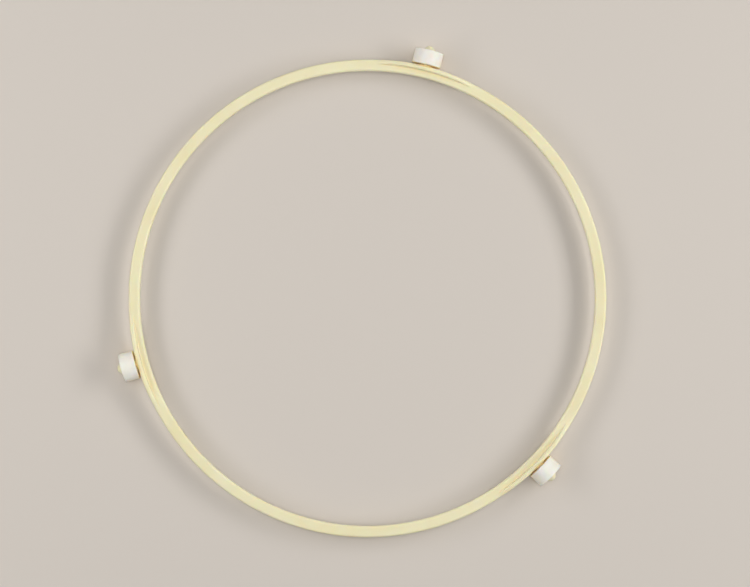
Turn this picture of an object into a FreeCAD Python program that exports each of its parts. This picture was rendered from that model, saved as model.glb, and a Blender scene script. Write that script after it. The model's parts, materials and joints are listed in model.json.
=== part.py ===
import FreeCAD, Part
import math
import os

import Sketcher

# Microwave roller ring: a round-edged plastic band that carries three free rollers.
# Millimetres, +Z up, origin on the ring's centre line at the floor the rollers stand on.
# The first roller's axle points along +X and the others follow it round the ring.

doc = FreeCAD.newDocument("roller_ring")

# Driving dimensions
SIZES = (
    ("band_outer_diameter", 253.0, "outside of the band"),
    ("band_width", 6.1, "radial width of the band"),
    ("band_height", 4.0, "height of the plain band"),
    ("band_edge_radius", 1.2, "rounding along the band's four edges"),
    ("roller_count", 3, "rollers, evenly spaced round the band"),
    ("roller_diameter", 15.3, "tread of a roller"),
    ("roller_width", 7.8, "roller along its axle"),
    ("roller_edge_chamfer", 0.4, "chamfer of the tread's rims"),
    ("bore_chamfer", 0.3, "chamfer at both ends of the roller's bore"),
    ("web_half_angle", 12.0, "half the arc that an upright web covers, degrees"),
    ("web_thickness", 2.4, "radial thickness of a web"),
    ("web_crest_rise", 3.2, "web above and below the band at the axle"),
    ("web_end_rise", 0.5, "web above and below the band at its ends"),
    ("web_edge_chamfer", 0.65, "chamfer along all edges of a web"),
    ("collar_diameter", 7.8, "collar between web and roller"),
    ("collar_length", 0.5, "collar from the band's outside to its bearing face"),
    ("axle_diameter", 6.0, "stub axle"),
    ("running_clearance", 0.08, "axle to bore, on the radius"),
    ("end_play", 0.5, "free travel of a roller along its axle"),
    ("head_diameter", 6.6, "snap head at its shoulder"),
    ("head_tip_diameter", 2.8, "snap head at its tip"),
    ("head_land", 0.3, "straight part of the head behind its taper"),
    ("head_length", 2.2, "snap head from shoulder to tip"),
)

sheet = doc.addObject("Spreadsheet::Sheet", "Sizes")
for row, (alias, value, meaning) in enumerate(SIZES, start=1):
    sheet.set("A%d" % row, str(value))
    sheet.setAlias("A%d" % row, alias)
    sheet.set("B%d" % row, meaning)
doc.recompute()

# Sizes that follow from them, as expressions
BAND_RADIUS = "Sizes.band_outer_diameter / 2"
BAND_INNER = BAND_RADIUS + " - Sizes.band_width"
AXLE_HEIGHT = "Sizes.roller_diameter / 2"
BAND_TOP = AXLE_HEIGHT + " + Sizes.band_height / 2"
BAND_BOTTOM = AXLE_HEIGHT + " - Sizes.band_height / 2"
CREST_TOP = BAND_TOP + " + Sizes.web_crest_rise"
CREST_BOTTOM = BAND_BOTTOM + " - Sizes.web_crest_rise"
WEB_INNER = BAND_RADIUS + " - Sizes.web_thickness"
WEB_HALF_CHORD = BAND_RADIUS + " * sin(Sizes.web_half_angle * 1 deg)"
ARCH_SAG = "(Sizes.web_crest_rise - Sizes.web_end_rise)"
ARCH_RADIUS = "((%s) ^ 2 + %s ^ 2) / (2 * %s)" % (WEB_HALF_CHORD, ARCH_SAG, ARCH_SAG)
COLLAR_FACE = BAND_RADIUS + " + Sizes.collar_length"
ROLLER_INNER = COLLAR_FACE + " + Sizes.end_play / 2"
ROLLER_OUTER = ROLLER_INNER + " + Sizes.roller_width"
HEAD_SHOULDER = ROLLER_OUTER + " + Sizes.end_play / 2"
HEAD_TIP = HEAD_SHOULDER + " + Sizes.head_length"
BORE_RADIUS = "Sizes.axle_diameter / 2 + Sizes.running_clearance"

# The band's rounding is made of short flats and takes no more than this share of its height or width
FLATS_PER_EDGE = 3
EDGE_SHARE = 0.45
BAND_EDGE = "min(Sizes.band_edge_radius; {0} * Sizes.band_height; {0} * Sizes.band_width)".format(EDGE_SHARE)

ORIGIN = -1
START, END, CENTRE = 1, 2, 3


def value(expression):
    """The present value of an expression on the sheet."""
    return float(sheet.evalExpression(expression))


def new_sketch(body, name, role):
    """A sketch on one of the body's own origin planes."""
    sketch = body.newObject("Sketcher::SketchObject", name)
    plane = [feature for feature in body.Origin.OriginFeatures if feature.Role == role][0]
    sketch.AttachmentSupport = [(plane, "")]
    sketch.MapMode = "FlatFace"
    return sketch


def drive(sketch, kind, target, expression):
    """Adds one dimension to a sketch and ties it to the sheet."""
    index = sketch.addConstraint(Sketcher.Constraint(kind, *target, value(expression)))
    sketch.setExpression("Constraints[%d]" % index, expression)


def closed_outline(sketch, corners):
    """Straight outline through corners, each given as two expressions, every corner tied to the sheet."""
    points = [FreeCAD.Vector(value(across), value(up), 0) for across, up in corners]
    lines = []
    for start, end in zip(points, points[1:] + points[:1]):
        lines.append(sketch.addGeometry(Part.LineSegment(start, end)))
    for line, following in zip(lines, lines[1:] + lines[:1]):
        sketch.addConstraint(Sketcher.Constraint("Coincident", line, END, following, START))
    for line, (across, up) in zip(lines, corners):
        drive(sketch, "DistanceX", (ORIGIN, START, line, START), across)
        drive(sketch, "DistanceY", (ORIGIN, START, line, START), up)


def rounded_corners(left, right, bottom, top, radius):
    """Corners of a rectangle whose four edges turn in short flats, with their ends on the edge's arc."""
    corners = []
    for side, level, outward, upward, start in (
        (right, bottom, 1, -1, 270),
        (right, top, 1, 1, 0),
        (left, top, -1, 1, 90),
        (left, bottom, -1, -1, 180),
    ):
        for step in range(FLATS_PER_EDGE + 1):
            turn = start + 90 * step / FLATS_PER_EDGE
            across = "%s + (cos(%g deg) - (%d)) * %s" % (side, turn, outward, radius)
            up = "%s + (sin(%g deg) - (%d)) * %s" % (level, turn, upward, radius)
            corners.append((across, up))
    return corners


def axle_line(sketch):
    """Construction line along the axle, which the round shapes on it turn about."""
    start = FreeCAD.Vector(value(BAND_RADIUS), value(AXLE_HEIGHT), 0)
    end = FreeCAD.Vector(value(HEAD_TIP), value(AXLE_HEIGHT), 0)
    line = sketch.addGeometry(Part.LineSegment(start, end), True)
    drive(sketch, "DistanceX", (ORIGIN, START, line, START), BAND_RADIUS)
    drive(sketch, "DistanceX", (ORIGIN, START, line, END), HEAD_TIP)
    drive(sketch, "DistanceY", (ORIGIN, START, line, START), AXLE_HEIGHT)
    drive(sketch, "DistanceY", (ORIGIN, START, line, END), AXLE_HEIGHT)


def revolve(body, name, sketch, axis, angle="360 deg"):
    """Turns a sketch about one of its axes, half of the angle to each side."""
    feature = body.newObject("PartDesign::Revolution", name)
    feature.Profile = sketch
    feature.ReferenceAxis = (sketch, [axis])
    feature.Midplane = True
    feature.setExpression("Angle", angle)
    return feature


def circles_of_radius(feature, radius):
    """Names of the round edges of a feature that have the radius asked for."""
    names = []
    for number, edge in enumerate(feature.Shape.Edges, start=1):
        if isinstance(edge.Curve, Part.Circle) and abs(edge.Curve.Radius - radius) < 1e-6:
            names.append("Edge%d" % number)
    return names


def arch_cut(body, name, crest, side):
    """Trims a web to its arched outline: side is 1 for the top edge and -1 for the foot."""
    sketch = new_sketch(body, name + "_sketch", "YZ_Plane")
    reach = WEB_HALF_CHORD + " + Sizes.web_thickness"
    radius = value(ARCH_RADIUS)
    half_turn = math.asin(value(reach) / radius)
    middle = math.pi / 2 * side
    centre = FreeCAD.Vector(0, value(crest) - side * radius, 0)
    circle = Part.Circle(centre, FreeCAD.Vector(0, 0, 1), radius)
    arch = sketch.addGeometry(Part.ArcOfCircle(circle, middle - half_turn, middle + half_turn))
    drive(sketch, "Radius", (arch,), ARCH_RADIUS)
    sketch.addConstraint(Sketcher.Constraint("PointOnObject", arch, CENTRE, -2))
    drive(sketch, "DistanceY", (ORIGIN, START, arch, CENTRE), "%s - (%d) * %s" % (crest, side, ARCH_RADIUS))
    # the waste runs from the arch to just past its crest
    first = sketch.getPoint(arch, START)
    last = sketch.getPoint(arch, END)
    beyond = "%s + (%d) * Sizes.web_thickness" % (crest, side)
    corner_last = FreeCAD.Vector(last.x, value(beyond), 0)
    corner_first = FreeCAD.Vector(first.x, value(beyond), 0)
    rise = sketch.addGeometry(Part.LineSegment(last, corner_last))
    across = sketch.addGeometry(Part.LineSegment(corner_last, corner_first))
    fall = sketch.addGeometry(Part.LineSegment(corner_first, first))
    for before, after in ((arch, rise), (rise, across), (across, fall), (fall, arch)):
        sketch.addConstraint(Sketcher.Constraint("Coincident", before, END, after, START))
    sketch.addConstraint(Sketcher.Constraint("Vertical", rise))
    sketch.addConstraint(Sketcher.Constraint("Vertical", fall))
    sketch.addConstraint(Sketcher.Constraint("Horizontal", across))
    drive(sketch, "DistanceY", (ORIGIN, START, across, START), beyond)
    drive(sketch, "DistanceX", (ORIGIN, START, rise, START), "(%d) * -(%s)" % (side, reach))
    drive(sketch, "DistanceX", (ORIGIN, START, fall, END), "(%d) * (%s)" % (side, reach))
    cut = body.newObject("PartDesign::Pocket", name)
    cut.Profile = sketch
    cut.Reversed = True
    cut.setExpression("Length", BAND_RADIUS + " + Sizes.web_thickness")
    return cut


def make_ring():
    """Band, upright webs, collars, stub axles and snap heads: one moulding."""
    body = doc.addObject("PartDesign::Body", "ring")
    body.Label = "ring"
    body.AllowCompound = True

    # upright web behind one roller: a short stretch of pipe wall, arched along its top and foot
    sketch = new_sketch(body, "web_sketch", "XZ_Plane")
    closed_outline(sketch, (
        (WEB_INNER, CREST_BOTTOM),
        (BAND_RADIUS, CREST_BOTTOM),
        (BAND_RADIUS, CREST_TOP),
        (WEB_INNER, CREST_TOP),
    ))
    web = revolve(body, "web", sketch, "V_Axis", "2 * Sizes.web_half_angle * 1 deg")
    doc.recompute()
    block_volume = web.Shape.Volume
    arch_cut(body, "web_top_arch", CREST_TOP, 1)
    foot = arch_cut(body, "web_foot_arch", CREST_BOTTOM, -1)
    doc.recompute()
    if not foot.Shape.Volume < block_volume:
        raise RuntimeError("the arches cut nothing from the web")
    edges = body.newObject("PartDesign::Chamfer", "web_edges")
    edges.Base = (foot, [""])
    edges.UseAllEdges = True
    edges.setExpression("Size", "Sizes.web_edge_chamfer")

    # collar, axle and head on the web, turned about the axle
    sketch = new_sketch(body, "stub_sketch", "XZ_Plane")
    half_web = BAND_RADIUS + " - Sizes.web_thickness / 2"
    collar_top = AXLE_HEIGHT + " + Sizes.collar_diameter / 2"
    axle_top = AXLE_HEIGHT + " + Sizes.axle_diameter / 2"
    head_top = AXLE_HEIGHT + " + Sizes.head_diameter / 2"
    tip_top = AXLE_HEIGHT + " + Sizes.head_tip_diameter / 2"
    axle_line(sketch)
    closed_outline(sketch, (
        (half_web, AXLE_HEIGHT),
        (HEAD_TIP, AXLE_HEIGHT),
        (HEAD_TIP, tip_top),
        (HEAD_SHOULDER + " + Sizes.head_land", head_top),
        (HEAD_SHOULDER, head_top),
        (HEAD_SHOULDER, axle_top),
        (COLLAR_FACE, axle_top),
        (COLLAR_FACE, collar_top),
        (half_web, collar_top),
    ))
    stub = revolve(body, "stub", sketch, "Axis0")
    doc.recompute()

    # the same web and stub behind every roller
    pattern = body.newObject("PartDesign::PolarPattern", "roller_stations")
    pattern.TransformMode = "Whole shape"
    pattern.Axis = (sketch, ["V_Axis"])
    pattern.Angle = 360
    pattern.setExpression("Occurrences", "Sizes.roller_count")
    body.Tip = pattern
    doc.recompute()

    # plain band: a rounded rectangle turned about the ring's centre line
    sketch = new_sketch(body, "band_sketch", "XZ_Plane")
    closed_outline(sketch, rounded_corners(BAND_INNER, BAND_RADIUS, BAND_BOTTOM, BAND_TOP, BAND_EDGE))
    revolve(body, "band", sketch, "V_Axis")
    return body


def make_roller(number):
    """One plain roller with a through bore, on its own axle."""
    body = doc.addObject("PartDesign::Body", "roller_%d" % number)
    body.Label = "roller_%d" % number
    sketch = new_sketch(body, "tread_sketch", "XZ_Plane")
    bore_top = AXLE_HEIGHT + " + " + BORE_RADIUS
    tread_top = AXLE_HEIGHT + " + Sizes.roller_diameter / 2"
    axle_line(sketch)
    closed_outline(sketch, (
        (ROLLER_INNER, bore_top),
        (ROLLER_OUTER, bore_top),
        (ROLLER_OUTER, tread_top),
        (ROLLER_INNER, tread_top),
    ))
    tread = revolve(body, "tread", sketch, "Axis0")
    doc.recompute()
    rims = body.newObject("PartDesign::Chamfer", "rims")
    rims.Base = (tread, circles_of_radius(tread, value("Sizes.roller_diameter / 2")))
    rims.setExpression("Size", "Sizes.roller_edge_chamfer")
    doc.recompute()
    mouths = body.newObject("PartDesign::Chamfer", "bore_mouths")
    mouths.Base = (rims, circles_of_radius(rims, value(BORE_RADIUS)))
    mouths.setExpression("Size", "Sizes.bore_chamfer")
    body.Placement.Rotation = FreeCAD.Rotation(FreeCAD.Vector(0, 0, 1), 0)
    body.setExpression("Placement.Rotation.Angle", "360 deg / Sizes.roller_count * %d" % (number - 1))
    return body


subparts = [make_ring()]
for number in range(1, int(value("Sizes.roller_count")) + 1):
    subparts.append(make_roller(number))
doc.recompute()

for item in doc.Objects:
    if "Invalid" in item.State or "Error" in item.State:
        raise RuntimeError("%s did not build: %s" % (item.Label, item.State))
for part in subparts:
    if part.Shape.isNull() or not part.Shape.isValid():
        raise RuntimeError("%s has no valid shape" % part.Label)
    if len(part.Shape.Solids) != 1:
        raise RuntimeError("%s is not one solid" % part.Label)

os.makedirs("parts", exist_ok=True)
for part in subparts:
    part.Shape.exportStep("parts/%s.step" % part.Label)
    box = part.Shape.BoundBox
    print("%s: %.1f mm3, %.1f x %.1f x %.1f mm" % (
        part.Label, part.Shape.Volume, box.XLength, box.YLength, box.ZLength))
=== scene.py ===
import bmesh
import bpy
import json
import math
from mathutils import Matrix, Vector


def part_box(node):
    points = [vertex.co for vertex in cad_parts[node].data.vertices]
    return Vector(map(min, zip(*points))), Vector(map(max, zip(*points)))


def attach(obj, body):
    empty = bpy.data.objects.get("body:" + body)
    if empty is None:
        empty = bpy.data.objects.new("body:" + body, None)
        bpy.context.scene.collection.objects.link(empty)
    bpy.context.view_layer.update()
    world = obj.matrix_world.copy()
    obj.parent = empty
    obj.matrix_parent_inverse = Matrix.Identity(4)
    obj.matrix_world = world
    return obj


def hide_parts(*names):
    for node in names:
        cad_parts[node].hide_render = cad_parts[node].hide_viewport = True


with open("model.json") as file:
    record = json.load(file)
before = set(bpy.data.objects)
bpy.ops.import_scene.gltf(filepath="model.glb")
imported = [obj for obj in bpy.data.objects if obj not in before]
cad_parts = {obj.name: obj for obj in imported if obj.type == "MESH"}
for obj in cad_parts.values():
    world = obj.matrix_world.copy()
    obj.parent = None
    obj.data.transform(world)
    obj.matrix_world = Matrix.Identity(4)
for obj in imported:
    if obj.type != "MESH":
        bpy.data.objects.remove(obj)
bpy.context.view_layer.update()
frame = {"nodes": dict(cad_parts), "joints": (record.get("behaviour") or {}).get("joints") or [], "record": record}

mm = 0.001
tiny = 0.001 * mm                              # two points closer than this are one
joints = {joint["child"]: joint for joint in frame["joints"]}
mounts = {mount["name"]: mount for mount in frame["record"]["mounts"]}
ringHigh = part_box("ring")[1]
rollerLow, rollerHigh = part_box("roller_1")     # the roller on +X
axleHeight = joints["roller_1"]["pos_m"][2]
stationTurn = math.tau / len(joints)           # from one roller to the next
upward = Vector((0, 0, 1))
ringCentre = Vector((0, 0, axleHeight))
print("frame loaded:", len(frame["nodes"]), "nodes")


def linearColour(hexText):
    channels = [int(hexText[i:i + 2], 16) / 255 for i in (1, 3, 5)]
    return [c / 12.92 if c <= 0.04045 else ((c + 0.055) / 1.055) ** 2.4 for c in channels] + [1.0]


# adds a node; a setting goes to the input of that name, or else to the node, and one output comes back
def addNode(tree, kind, settings=None, links=None, output=None):
    node = tree.nodes.new(kind)
    inputs = {socket.identifier: socket for socket in node.inputs}
    for name, value in (settings or {}).items():
        if name in inputs:
            inputs[name].default_value = value
        else:
            setattr(node, name, value)
    for name, source in (links or {}).items():
        tree.links.new(source, inputs[name])
    return next((socket for socket in node.outputs if output in (None, socket.identifier)), None)


def newMaterial(name):
    material = bpy.data.materials.new(name)
    material.use_nodes = True
    material.node_tree.nodes.clear()
    return material, material.node_tree


noiseSpan = {"From Min": 0.3, "From Max": 0.7}       # most of a noise lies between these
shelterSpan = {"From Min": 0.9, "From Max": 0.3}     # how open a place is, from plain to quite sheltered


# moulded plastic: clouds of a clean and a duller tone, which go over to a third, painted warm bounce light and
# shade, in sheltered corners
def mouldedTonesAndPaintedBounce(tree, place, look, tones):
    clean, dull, paintedBounceTone = [linearColour(tone) for tone in tones]
    cloud = addNode(tree, "ShaderNodeTexNoise", {"Scale": 1 / look["cloudSize"], "Detail": 3.0},
                    {"Vector": place})
    cloudShare = addNode(tree, "ShaderNodeMapRange", noiseSpan, {"Value": cloud})
    clouds = addNode(tree, "ShaderNodeMix", {"data_type": "RGBA", "A_Color": clean, "B_Color": dull},
                     {"Factor_Float": cloudShare}, "Result_Color")
    # painted warm bounce light and shade: ambient occlusion tints sheltered places towards the third tone
    openness = addNode(tree, "ShaderNodeAmbientOcclusion", {"samples": 8, "Distance": look["cornerSize"]},
                       output="AO")
    paintedBounceShare = addNode(tree, "ShaderNodeMapRange", shelterSpan, {"Value": openness})
    return addNode(tree, "ShaderNodeMix", {"data_type": "RGBA", "B_Color": paintedBounceTone},
                   {"Factor_Float": paintedBounceShare, "A_Color": clouds}, "Result_Color")


# Cream polypropylene, injection moulded in a lightly blasted tool: a warm, faintly cloudy cream that
# lets a little light in and has a soft sheen, with a fine raised line where the tool's halves met
creamPlastic = {
    "cream": "#EDE7C3",
    "deepCream": "#E9E1B7",
    "cloudSize": 22 * mm,
    "cornerCream": "#FFE8AC",        # painted warm bounce light and shade where it is sheltered, at the web's foot and the collar
    "cornerSize": 3.0 * mm,
    "grainSize": 0.45 * mm,          # coarser than the real blasting, so that it shows
    "grainDepth": 0.010 * mm,
    "partingWidth": 0.10 * mm,       # to either side of the line
    "partingDepth": 0.03 * mm,
    "sheenSize": 9 * mm,             # patches of more and less gloss
    "roughness": (0.30, 0.40),
    "ior": 1.49,
    "skinGloss": 0.8,                # glossy skin that the tool leaves
    "skinRoughness": 0.26,
    "lightDepth": 3.0 * mm,          # how far light travels inside; red goes further than blue
    "lightReach": (1.0, 0.62, 0.25),
    "lightShare": 0.35,
}


def makeCreamPlastic():
    look = creamPlastic
    material, tree = newMaterial("creamMouldedPolypropylene")
    place = addNode(tree, "ShaderNodeTexCoord", output="Object")
    tones = (look["cream"], look["deepCream"], look["cornerCream"])
    colour = mouldedTonesAndPaintedBounce(tree, place, look, tones)
    sheen = addNode(tree, "ShaderNodeTexNoise", {"Scale": 1 / look["sheenSize"], "Detail": 4.0},
                    {"Vector": place})
    low, high = look["roughness"]
    roughness = addNode(tree, "ShaderNodeMapRange", {**noiseSpan, "To Min": low, "To Max": high},
                        {"Value": sheen})
    grain = addNode(tree, "ShaderNodeTexNoise", {"Scale": 1 / look["grainSize"], "Detail": 2.0},
                    {"Vector": place})
    grainBump = addNode(tree, "ShaderNodeBump", {"Distance": look["grainDepth"]}, {"Height": grain})
    # parting line at the height of the axles
    height = addNode(tree, "ShaderNodeSeparateXYZ", links={"Vector": place}, output="Z")
    above = addNode(tree, "ShaderNodeMath", {"operation": "SUBTRACT", "Value_001": axleHeight},
                    {"Value": height})
    away = addNode(tree, "ShaderNodeMath", {"operation": "ABSOLUTE"}, {"Value": above})
    ridge = addNode(tree, "ShaderNodeMapRange",
                    {"interpolation_type": "SMOOTHSTEP", "From Min": look["partingWidth"], "From Max": 0.0},
                    {"Value": away})
    bump = addNode(tree, "ShaderNodeBump", {"Distance": look["partingDepth"]},
                   {"Height": ridge, "Normal": grainBump})
    shader = addNode(tree, "ShaderNodeBsdfPrincipled",
                     {"IOR": look["ior"], "Coat Weight": look["skinGloss"],
                      "Coat Roughness": look["skinRoughness"], "Subsurface Weight": look["lightShare"],
                      "Subsurface Radius": look["lightReach"], "Subsurface Scale": look["lightDepth"]},
                     {"Base Color": colour, "Roughness": roughness, "Normal": bump})
    addNode(tree, "ShaderNodeOutputMaterial", links={"Surface": shader})
    return material


# White acetal, moulded and then polished round by running: a soft near-white, a little waxy, with fine
# rings round the axle that only show where light grazes them
whitePlastic = {
    "white": "#F2F0E8",
    "dullWhite": "#EDE9DD",
    "cloudSize": 6 * mm,
    "cornerWhite": "#FFE9BC",        # painted warm bounce light where it faces the ring and the floor
    "cornerSize": 13.0 * mm,
    "ringSize": 0.30 * mm,           # spacing of the running marks, coarser than real so that they show
    "ringDepth": 0.006 * mm,
    "roughness": (0.36, 0.50),
    "ior": 1.48,
    "lightDepth": 3.0 * mm,
    "lightReach": (1.0, 0.62, 0.28),
    "lightShare": 0.35,
}


def makeWhitePlastic():
    look = whitePlastic
    material, tree = newMaterial("whiteMouldedAcetal")
    place = addNode(tree, "ShaderNodeTexCoord", output="Object")
    tones = (look["white"], look["dullWhite"], look["cornerWhite"])
    colour = mouldedTonesAndPaintedBounce(tree, place, look, tones)
    # the same all the way round the axle
    along = addNode(tree, "ShaderNodeAttribute", {"attribute_name": "alongAxle"}, output="Fac")
    away = addNode(tree, "ShaderNodeAttribute", {"attribute_name": "fromAxle"}, output="Fac")
    axlePlace = addNode(tree, "ShaderNodeCombineXYZ", links={"X": along, "Y": away})
    rings = addNode(tree, "ShaderNodeTexNoise", {"Scale": 1 / look["ringSize"], "Detail": 2.0},
                    {"Vector": axlePlace})
    low, high = look["roughness"]
    roughness = addNode(tree, "ShaderNodeMapRange", {**noiseSpan, "To Min": low, "To Max": high},
                        {"Value": rings})
    bump = addNode(tree, "ShaderNodeBump", {"Distance": look["ringDepth"]}, {"Height": rings})
    shader = addNode(tree, "ShaderNodeBsdfPrincipled",
                     {"IOR": look["ior"], "Subsurface Weight": look["lightShare"],
                      "Subsurface Radius": look["lightReach"], "Subsurface Scale": look["lightDepth"]},
                     {"Base Color": colour, "Roughness": roughness, "Normal": bump})
    addNode(tree, "ShaderNodeOutputMaterial", links={"Surface": shader})
    return material


def arcPoints(centre, radius, start, end, steps):
    angles = [math.radians(start + (end - start) * step / steps) for step in range(steps + 1)]
    return [(centre[0] + radius * math.cos(a), centre[1] + radius * math.sin(a)) for a in angles]


def linePoints(start, end, steps):
    return [tuple(a + (b - a) * step / steps for a, b in zip(start, end)) for step in range(steps + 1)]


# a chain of edges in the upright plane through +X, from (distance out, height over the axle) pairs
def drawChain(bm, points, closed):
    verts = [bm.verts.new((out, 0, axleHeight + height)) for out, height in points]
    ends = verts[1:] + verts[:1] if closed else verts[1:]
    return verts, [bm.edges.new(pair) for pair in zip(verts, ends)]


# draws (distance out, radius, rounding) corners, rounds them and spins the chain about the first axle
def spinOnAxle(bm, corners, closed, steps):
    verts = drawChain(bm, [corner[:2] for corner in corners], closed)[0]
    for vert, corner in zip(verts, corners):
        if corner[2]:
            bmesh.ops.bevel(bm, geom=[vert], offset=corner[2], segments=5, profile=0.5, material=-1,
                            affect="VERTICES")
    bmesh.ops.spin(bm, geom=bm.verts[:] + bm.edges[:], cent=ringCentre, axis=(1, 0, 0), angle=math.tau,
                   steps=steps, use_merge=True)
    bmesh.ops.remove_doubles(bm, verts=bm.verts[:], dist=tiny)


def finishPiece(bm, name, material, body, node):
    bmesh.ops.recalc_face_normals(bm, faces=bm.faces[:])
    mesh = bpy.data.meshes.new(name)
    bm.to_mesh(mesh)
    bm.free()
    mesh.shade_smooth()
    mesh.materials.append(material)
    piece = bpy.data.objects.new(name, mesh)
    bpy.context.scene.collection.objects.link(piece)
    weighted = piece.modifiers.new("weightedNormals", "WEIGHTED_NORMAL")     # keeps the flats flat
    weighted.keep_sharp = True
    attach(piece, body)
    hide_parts(node)
    print("made", name, "with", len(mesh.polygons), "faces")


# The ring's band and the upright webs that stand flush with its outer wall
ringShape = {
    "bandHeight": 4.0 * mm,
    "bandRound": 1.2 * mm,           # along the band's four edges
    "webThickness": 2.4 * mm,
    "webHalfAngle": 12.0,            # degrees to either side of the axle
    "webRound": 1.0 * mm,            # along the web's edges, above and below
    "webFillet": 0.6 * mm,           # in the corner between web and band
    "beadShare": 0.6,                # of the web's rise, where that is too low for the full rounding
    "filletShare": 0.25,             # the same for the fillet
    "roundSteps": 8,                 # faces across a rounding
    "filletSteps": 5,
    "boreRows": 2,                   # rows of faces on half the inner wall, and so on round the section
    "bandTopRows": 5,
    "webRows": 4,
    "crestRows": 3,
    "wallRows": 8,                   # on half the outer wall
    "archSteps": 44,                 # columns of faces on the web to either side of the stub's seat
    "bandSteps": 96,                 # columns of faces from one web to the next
}
outerRadius = ringHigh.y
innerRadius = mounts["ring_bore"]["dims"]["r_mm"] * mm
bandHalf = ringShape["bandHeight"] / 2
webHalfTurn = math.radians(ringShape["webHalfAngle"])
webHalfChord = outerRadius * math.sin(webHalfTurn)
crestRise = ringHigh.z - axleHeight - bandHalf
archRadius = (webHalfChord ** 2 + crestRise ** 2) / (2 * crestRise)     # down to the band at either end

# The stub on each web: collar, axle and snap head
stubShape = {
    "collarDiameter": 7.8 * mm,
    "collarFillet": 0.25 * mm,
    "axleDiameter": 6.0 * mm,
    "endGap": 0.25 * mm,             # between the roller and what holds it at either end
    "headDiameter": 6.6 * mm,
    "headLand": 0.3 * mm,
    "tipDiameter": 2.8 * mm,
    "softEdge": 0.15 * mm,
    "tipRound": 0.35 * mm,
}


def webRise(turn):
    offset = outerRadius * math.sin(turn)
    return max(crestRise - archRadius + math.sqrt(archRadius ** 2 - offset ** 2), 0.0)


# closed section of the ring where the web rises this far over the band, from the inner wall round the top
def sectionPoints(rise):
    shape = ringShape
    bead = min(shape["webRound"], shape["beadShare"] * rise)
    fillet = min(shape["webFillet"], shape["filletShare"] * rise)
    webShare = min(rise / shape["webRound"], 1.0)
    edge = shape["bandRound"] + (shape["webRound"] - shape["bandRound"]) * webShare
    webInner = outerRadius - shape["webThickness"]
    webTop = bandHalf + rise
    steps = shape["roundSteps"]
    innerArc = arcPoints((innerRadius + shape["bandRound"], bandHalf - shape["bandRound"]),
                         shape["bandRound"], 180, 90, steps)
    filletArc = arcPoints((webInner - fillet, bandHalf + fillet), fillet, 270, 360, shape["filletSteps"])
    beadArc = arcPoints((webInner + bead, webTop - bead), bead, 180, 90, steps)
    edgeArc = arcPoints((outerRadius - edge, webTop - edge), edge, 90, 0, steps)
    upper = linePoints((innerRadius, 0), innerArc[0], shape["boreRows"])
    for stretch in (
        innerArc,
        linePoints(innerArc[-1], filletArc[0], shape["bandTopRows"]),
        filletArc,
        linePoints(filletArc[-1], beadArc[0], shape["webRows"]),
        beadArc,
        linePoints(beadArc[-1], edgeArc[0], shape["crestRows"]),
        edgeArc,
        linePoints(edgeArc[-1], (outerRadius, 0), shape["wallRows"]),
    ):
        upper += stretch[1:]
    return upper + [(out, -height) for out, height in upper[-2:0:-1]]


def turnOf(vert):
    return math.atan2(vert.co.y, vert.co.x)


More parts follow.
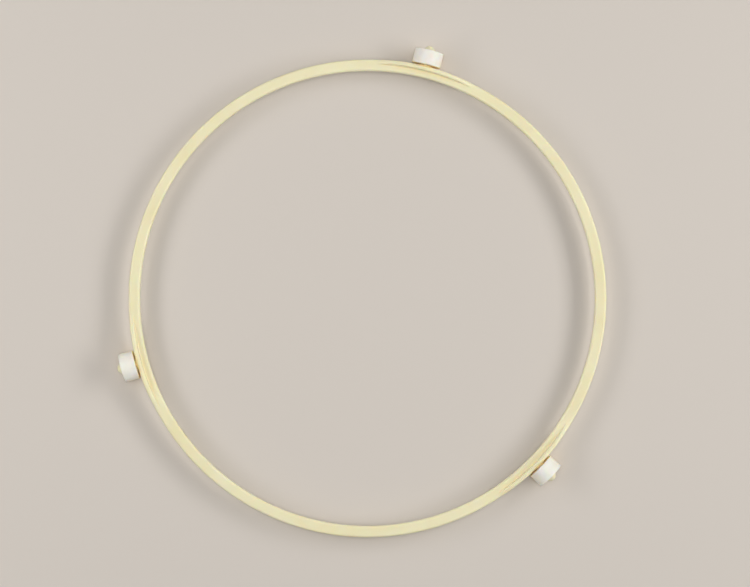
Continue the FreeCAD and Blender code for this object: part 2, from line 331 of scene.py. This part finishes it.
def makeRing(material):
    shape, stub = ringShape, stubShape
    bm = bmesh.new()
    sectionLayer = bm.verts.layers.int.new("sectionPoint")
    # the web's straight wall over the axle is also how wide the stub's seat is
    seatHalf = bandHalf + crestRise - shape["webRound"]
    seatTurn = math.asin(seatHalf / outerRadius)

    collarRadius = stub["collarDiameter"] / 2
    axleRadius = stub["axleDiameter"] / 2
    headRadius = stub["headDiameter"] / 2
    collarFace = rollerLow.x - stub["endGap"]
    headShoulder = rollerHigh.x + stub["endGap"]
    seatEdges = 4 * 2 * shape["wallRows"]          # the stub has as many columns as its seat has edges
    spinOnAxle(bm, [
        (outerRadius, collarRadius + stub["collarFillet"], 0),
        (outerRadius, collarRadius, stub["collarFillet"] * 0.98),     # just short of the end of its edge
        (collarFace, collarRadius, stub["softEdge"]),
        (collarFace, axleRadius, stub["softEdge"]),
        (headShoulder, axleRadius, stub["softEdge"]),
        (headShoulder, headRadius, stub["softEdge"] / 2),
        (headShoulder + stub["headLand"], headRadius, stub["softEdge"]),
        (ringHigh.x, stub["tipDiameter"] / 2, stub["tipRound"]),
        (ringHigh.x, 0, 0),
    ], False, seatEdges)

    # one web: its section spun from end to end, then set to the web's height column by column
    verts, edges = drawChain(bm, sectionPoints(crestRise), True)
    for number, vert in enumerate(verts, start=1):
        vert[sectionLayer] = number
    bmesh.ops.rotate(bm, verts=verts, cent=ringCentre, matrix=Matrix.Rotation(-webHalfTurn, 3, "Z"))
    arch = (webHalfTurn - seatTurn, shape["archSteps"])
    last = verts + edges
    for turn, steps in (arch, (2 * seatTurn, 2 * shape["wallRows"]), arch):
        last = bmesh.ops.spin(bm, geom=last, cent=ringCentre, axis=upward, angle=turn,
                              steps=steps)["geom_last"]
    sections = {}
    for vert in bm.verts:
        if vert[sectionLayer]:
            turn = round(turnOf(vert), 7)
            if turn not in sections:
                sections[turn] = sectionPoints(webRise(turn))
            out, height = sections[turn][vert[sectionLayer] - 1]
            vert.co = (out * math.cos(turn), out * math.sin(turn), axleHeight + height)
    bmesh.ops.remove_doubles(bm, verts=bm.verts[:], dist=tiny)

    # the stub grows out of a square seat in the web's outer wall
    slack = tiny / outerRadius
    seatReach = seatTurn + slack
    seat = [face for face in bm.faces if all(
        vert[sectionLayer] and abs(turnOf(vert)) < seatReach and vert.co.xy.length > outerRadius - tiny
        for vert in face.verts)]
    bmesh.ops.delete(bm, geom=seat, context="FACES")
    rims = [edge for edge in bm.edges
            if edge.is_boundary and all(abs(turnOf(vert)) < seatReach for vert in edge.verts)]
    # the collar's root follows the wall
    for vert in {vert for edge in rims for vert in edge.verts}:
        if not vert[sectionLayer]:
            vert.co.x = math.sqrt(outerRadius ** 2 - vert.co.y ** 2)
    bmesh.ops.bridge_loops(bm, edges=rims)

    # plain band on to the next web, then the same third of the ring for the other rollers
    ends = [edge for edge in bm.edges
            if edge.is_boundary and all(turnOf(vert) > webHalfTurn - slack for vert in edge.verts)]
    endVerts = list({vert for edge in ends for vert in edge.verts})
    bmesh.ops.spin(bm, geom=endVerts + ends, cent=ringCentre, axis=upward,
                   angle=stationTurn - 2 * webHalfTurn, steps=shape["bandSteps"])
    copies = len(joints) - 1
    bmesh.ops.spin(bm, geom=bm.verts[:] + bm.edges[:] + bm.faces[:], cent=ringCentre, axis=upward,
                   angle=stationTurn * copies, steps=copies, use_duplicate=True)
    bmesh.ops.remove_doubles(bm, verts=bm.verts[:], dist=tiny)
    print("ring open edges:", sum(not edge.is_manifold for edge in bm.edges))
    finishPiece(bm, "ringMoulding", material, "ring", "ring")


rollerShape = {
    "boreDiameter": 6.16 * mm,
    "boreRound": 0.3 * mm,
    "rimRound": 0.45 * mm,
    "steps": 128,
}


def makeRoller(body, material):
    shape = rollerShape
    bm = bmesh.new()
    alongLayer = bm.verts.layers.float.new("alongAxle")
    awayLayer = bm.verts.layers.float.new("fromAxle")
    bore = shape["boreDiameter"] / 2
    tread = (rollerHigh.z - rollerLow.z) / 2
    spinOnAxle(bm, [
        (rollerLow.x, bore, shape["boreRound"]),
        (rollerHigh.x, bore, shape["boreRound"]),
        (rollerHigh.x, tread, shape["rimRound"]),
        (rollerLow.x, tread, shape["rimRound"]),
    ], True, shape["steps"])
    for vert in bm.verts:
        vert[alongLayer] = vert.co.x - rollerLow.x
        vert[awayLayer] = (vert.co - ringCentre).yz.length
    axle = Vector(joints[body]["axis"])
    bmesh.ops.rotate(bm, verts=bm.verts[:], cent=ringCentre,
                     matrix=Matrix.Rotation(math.atan2(axle.y, axle.x), 3, "Z"))
    finishPiece(bm, body.replace("_", "") + "Wheel", material, body, body)


makeRing(makeCreamPlastic())
whiteAcetal = makeWhitePlastic()
for bodyName in sorted(joints):
    makeRoller(bodyName, whiteAcetal)

# Picture: straight down, with the first axle a little to the right of the picture's top
view = {
    "imageWidth": 750,
    "imageHeight": 587,
    "ringCentrePixel": (367.56, 298.42),
    "millimetresPerPixel": 0.5331,   # on the floor
    "cameraHeight": 1200 * mm,
    "topAngle": 14.1,                # degrees from the first axle to the picture's top
}
pictureUp = Matrix.Rotation(math.radians(view["topAngle"]), 3, "Z") @ Vector((1, 0, 0))
pictureRight = pictureUp.cross(upward)


def makeCamera():
    pixel = view["millimetresPerPixel"] * mm
    across, down = view["ringCentrePixel"]
    aim = pictureRight * (view["imageWidth"] / 2 - across) + pictureUp * (down - view["imageHeight"] / 2)
    lens = bpy.data.cameras.new("camera")
    lens.sensor_fit = "HORIZONTAL"
    lens.lens = lens.sensor_width * view["cameraHeight"] / (view["imageWidth"] * pixel)
    camera = bpy.data.objects.new("camera", lens)
    camera.matrix_world = Matrix((pictureRight, pictureUp, upward)).transposed().to_4x4()
    camera.location = aim * pixel + upward * view["cameraHeight"]
    bpy.context.scene.collection.objects.link(camera)
    bpy.context.scene.camera = camera


# Floor and light: a softbox to either side, one straight overhead and an even dome. The shares are what
# each gives to the floor; wide boxes give a little less, so they add up to just over 1 and colours render
# as written; lengths are in metres
stageLook = {
    "floor": "#D2CAC1",
    "floorSize": 6.0,
    "floorRoughness": 0.9,
    "floorFade": (0.27, 0.60),       # from here to here the floor turns as plain as the room behind it
    "domeShare": 0.20,
    "sideGlow": 2.8,                 # bright walls high up to either side, in reflections only
    "glowAside": (0.35, 0.65),       # how far to the side it fades in, and how high up, as shares of a
    "glowHeight": (0.45, 0.65),      # direction of length 1
    # bearings turn left from the picture's right-hand side, in degrees
    "softboxes": {
        "right": {"share": 0.30, "bearing": 8, "elevation": 31, "distance": 1.35, "size": (1.30, 0.35)},
        "left": {"share": 0.20, "bearing": 172, "elevation": 35, "distance": 0.90, "size": (0.95, 0.26)},
        "overhead": {"share": 0.35, "bearing": 90, "elevation": 88, "distance": 1.50, "size": (0.50, 0.50)},
    },
}


# 1 where the camera looks, straight or by way of a reflection, and 0 for the light that falls on the part
def seenRays(tree):
    rays = [addNode(tree, "ShaderNodeLightPath", output="Is %s Ray" % kind)
            for kind in ("Camera", "Glossy", "Transmission")]
    mirrored = addNode(tree, "ShaderNodeMath", {"operation": "MAXIMUM"},
                       {"Value": rays[1], "Value_001": rays[2]})
    return addNode(tree, "ShaderNodeMath", {"operation": "MAXIMUM"},
                   {"Value": rays[0], "Value_001": mirrored})


def makeFloor():
    bm = bmesh.new()
    bmesh.ops.create_grid(bm, x_segments=1, y_segments=1, size=stageLook["floorSize"] / 2)
    mesh = bpy.data.meshes.new("floor")
    bm.to_mesh(mesh)
    bm.free()
    material, tree = newMaterial("paleMatFloor")
    colour = linearColour(stageLook["floor"])
    mat = addNode(tree, "ShaderNodeBsdfPrincipled",
                  {"Base Color": colour, "Roughness": stageLook["floorRoughness"],
                   "Specular IOR Level": 0.0})
    # far off the floor shows its own colour, whatever the lamps do there; from below it is clear
    place = addNode(tree, "ShaderNodeTexCoord", output="Object")
    away = addNode(tree, "ShaderNodeVectorMath", {"operation": "LENGTH"}, {"Vector": place}, "Value")
    near, far = stageLook["floorFade"]
    farShare = addNode(tree, "ShaderNodeMapRange",
                       {"interpolation_type": "SMOOTHSTEP", "From Min": near, "From Max": far},
                       {"Value": away})
    plainShare = addNode(tree, "ShaderNodeMath", {"operation": "MULTIPLY"},
                         {"Value": farShare, "Value_001": seenRays(tree)})
    plain = addNode(tree, "ShaderNodeEmission", {"Color": colour, "Strength": 1.0})
    top = addNode(tree, "ShaderNodeMixShader",
                  links={"Fac": plainShare, "Shader": mat, "Shader_001": plain})
    below = addNode(tree, "ShaderNodeNewGeometry", output="Backfacing")
    clear = addNode(tree, "ShaderNodeBsdfTransparent")
    shader = addNode(tree, "ShaderNodeMixShader", links={"Fac": below, "Shader": top, "Shader_001": clear})
    addNode(tree, "ShaderNodeOutputMaterial", links={"Surface": shader})
    mesh.materials.append(material)
    floor = bpy.data.objects.new("floor", mesh)
    bpy.context.scene.collection.objects.link(floor)


def makeSoftbox(name, box):
    elevation = math.radians(box["elevation"])
    level = Matrix.Rotation(math.radians(box["bearing"]), 3, "Z") @ pictureRight
    direction = level * math.cos(elevation) + upward * math.sin(elevation)
    light = bpy.data.lights.new(name + "Softbox", "AREA")
    light.shape = "RECTANGLE"
    light.size, light.size_y = box["size"]
    light.energy = box["share"] * (math.pi * box["distance"]) ** 2 / math.sin(elevation)
    softbox = bpy.data.objects.new(name + "Softbox", light)
    softbox.location = direction * box["distance"]
    softbox.rotation_euler = direction.to_track_quat("Z", "Y").to_euler()
    softbox.visible_glossy = False       # no glare on the flats; the side glow gives the edges their shine
    bpy.context.scene.collection.objects.link(softbox)


def makeWorld():
    world = bpy.data.worlds.new("studio")
    world.use_nodes = True
    tree = world.node_tree
    tree.nodes.clear()
    place = addNode(tree, "ShaderNodeTexCoord", output="Generated")
    across = addNode(tree, "ShaderNodeVectorMath", {"operation": "DOT_PRODUCT", "Vector_001": pictureRight},
                     {"Vector": place}, "Value")
    aside = addNode(tree, "ShaderNodeMath", {"operation": "ABSOLUTE"}, {"Value": across})
    low, high = stageLook["glowAside"]
    sideShare = addNode(tree, "ShaderNodeMapRange",
                        {"interpolation_type": "SMOOTHSTEP", "From Min": low, "From Max": high},
                        {"Value": aside})
    height = addNode(tree, "ShaderNodeSeparateXYZ", links={"Vector": place}, output="Z")
    low, high = stageLook["glowHeight"]
    wallShine = addNode(tree, "ShaderNodeMapRange",
                        {"interpolation_type": "SMOOTHSTEP", "From Min": low, "From Max": high,
                         "To Max": stageLook["sideGlow"]}, {"Value": height})
    glow = addNode(tree, "ShaderNodeMath", {"operation": "MULTIPLY"},
                   {"Value": sideShare, "Value_001": wallShine})
    glossyRay = addNode(tree, "ShaderNodeLightPath", output="Is Glossy Ray")
    shineStrength = addNode(tree, "ShaderNodeMath", {"operation": "MULTIPLY"},
                            {"Value": glow, "Value_001": glossyRay})
    white = linearColour("#FFFFFF")
    shine = addNode(tree, "ShaderNodeBackground", {"Color": white}, {"Strength": shineStrength})
    dome = addNode(tree, "ShaderNodeBackground", {"Color": white, "Strength": stageLook["domeShare"]})
    room = addNode(tree, "ShaderNodeBackground",
                   {"Color": linearColour(stageLook["floor"]), "Strength": 1.0})
    plain = addNode(tree, "ShaderNodeMixShader",
                    links={"Fac": seenRays(tree), "Shader": dome, "Shader_001": room})
    studio = addNode(tree, "ShaderNodeAddShader", links={"Shader": plain, "Shader_001": shine})
    addNode(tree, "ShaderNodeOutputWorld", links={"Surface": studio})
    bpy.context.scene.world = world


makeCamera()
makeFloor()
for softboxName, softboxLook in stageLook["softboxes"].items():
    makeSoftbox(softboxName, softboxLook)
makeWorld()
bpy.context.scene.view_settings.view_transform = "Standard"
print("camera, floor and lights placed")
